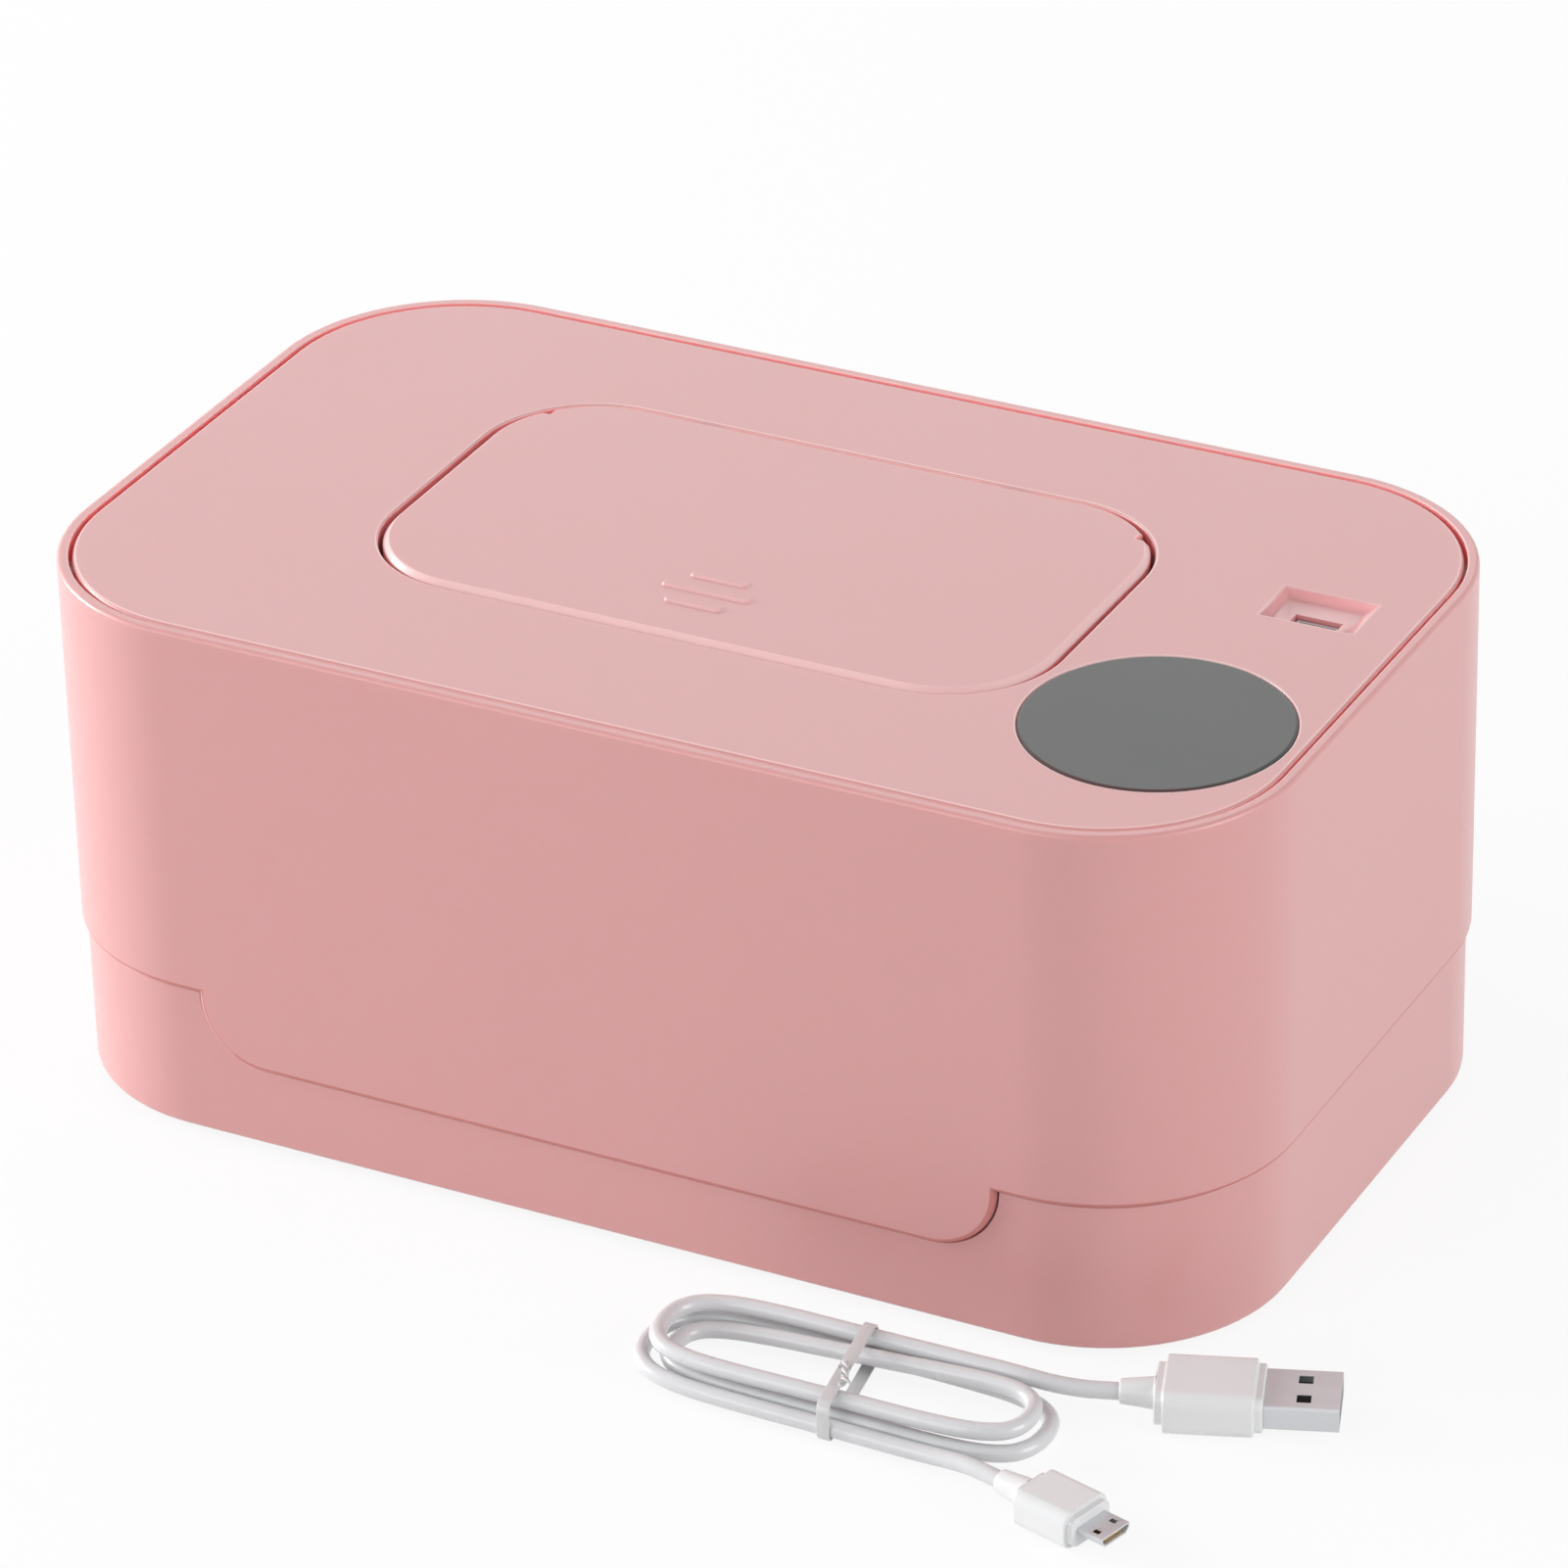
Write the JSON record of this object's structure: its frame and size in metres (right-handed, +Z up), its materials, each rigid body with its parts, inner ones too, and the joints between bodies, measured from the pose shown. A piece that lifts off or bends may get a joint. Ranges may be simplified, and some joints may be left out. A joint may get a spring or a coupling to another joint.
{
  "type": "baby wipe warmer",
  "caption": "Rounded box wipe warmer with a lift-off heated head, hinged dispensing flap, round display lens, top power socket, sprung wipe platform and a tied USB lead",
  "frame": {"origin": "on the table, under the middle of the casing (the lead left out)", "axes": "+X along the casing towards the display, +Y to the back, where the flap is hinged, +Z up"},
  "size_m": [0.255, 0.1884, 0.1008],
  "materials": {
    "pink_shell": "satin",
    "pink_panel": "satin",
    "pink_flap": "satin",
    "foot_rubber": "matt",
    "spring_wire": "drawn",
    "white_plastic": "satin",
    "latch_plastic": "satin",
    "lens": "satin mirror",
    "display_body": "matt",
    "board": "satin",
    "chips": "matt",
    "connector_steel": "plated",
    "heater_metal": "rolled",
    "film": "gloss",
    "foam": "matt",
    "fuse": "gloss",
    "wire_red": "gloss",
    "pin_steel": "ground",
    "screw_steel": "plated",
    "gasket": "matt",
    "cord_white": "gloss",
    "tie_plastic": "gloss",
    "plug_white": "gloss",
    "contacts": "gilt"
  },
  "bodies": {
    "base": {"base_shell": "pink_shell", "base_feet": "foot_rubber", "lift_springs": "spring_wire", "cable_hank": "cord_white", "cable_lead_a": "cord_white", "cable_lead_b": "cord_white", "cable_tie": "tie_plastic", "usb_a_overmold": "plug_white", "usb_a_shell": "connector_steel", "usb_a_tongue": "chips", "micro_overmold": "plug_white", "micro_shell": "connector_steel", "micro_tongue": "contacts"},
    "platform": {"wipe_platform": "white_plastic"},
    "cover": {"cover_casing": "pink_shell", "top_panel": "pink_panel", "display_lens": "lens", "display_module": "display_body", "control_board": "board", "board_parts": "chips", "usb_socket": "connector_steel", "inner_cover": "white_plastic", "heater_plate": "heater_metal", "film_heater": "film", "insulation_pad": "foam", "thermal_fuse": "fuse", "temperature_sensor": "chips", "heater_wires": "wire_red", "dispensing_mouth": "white_plastic", "hinge_pin": "pin_steel", "flap_spring": "spring_wire", "touch_latch": "latch_plastic", "panel_screws": "screw_steel", "heater_screws": "screw_steel", "board_screws": "screw_steel"},
    "flap": {"flap": "pink_flap", "flap_gasket": "gasket"}
  },
  "joints": [
    {"name": "flap_hinge", "type": "hinge", "parent": "cover", "child": "flap", "pos_m": [0, 0.0319, 0.09835], "axis": [-1, 0, 0], "range_deg": [-0.8, 92]},
    {"name": "platform_press", "type": "slide", "parent": "base", "child": "platform", "axis": [0, 0, -1], "range_m": [0, 0.022], "stiffness_N_per_m": 200, "springref_m": -0.012, "deforming": ["lift_springs"]},
    {"name": "cover_lift", "type": "slide", "parent": "base", "child": "cover", "axis": [0, 0, 1], "range_m": [0, 0.09]}
  ]
}
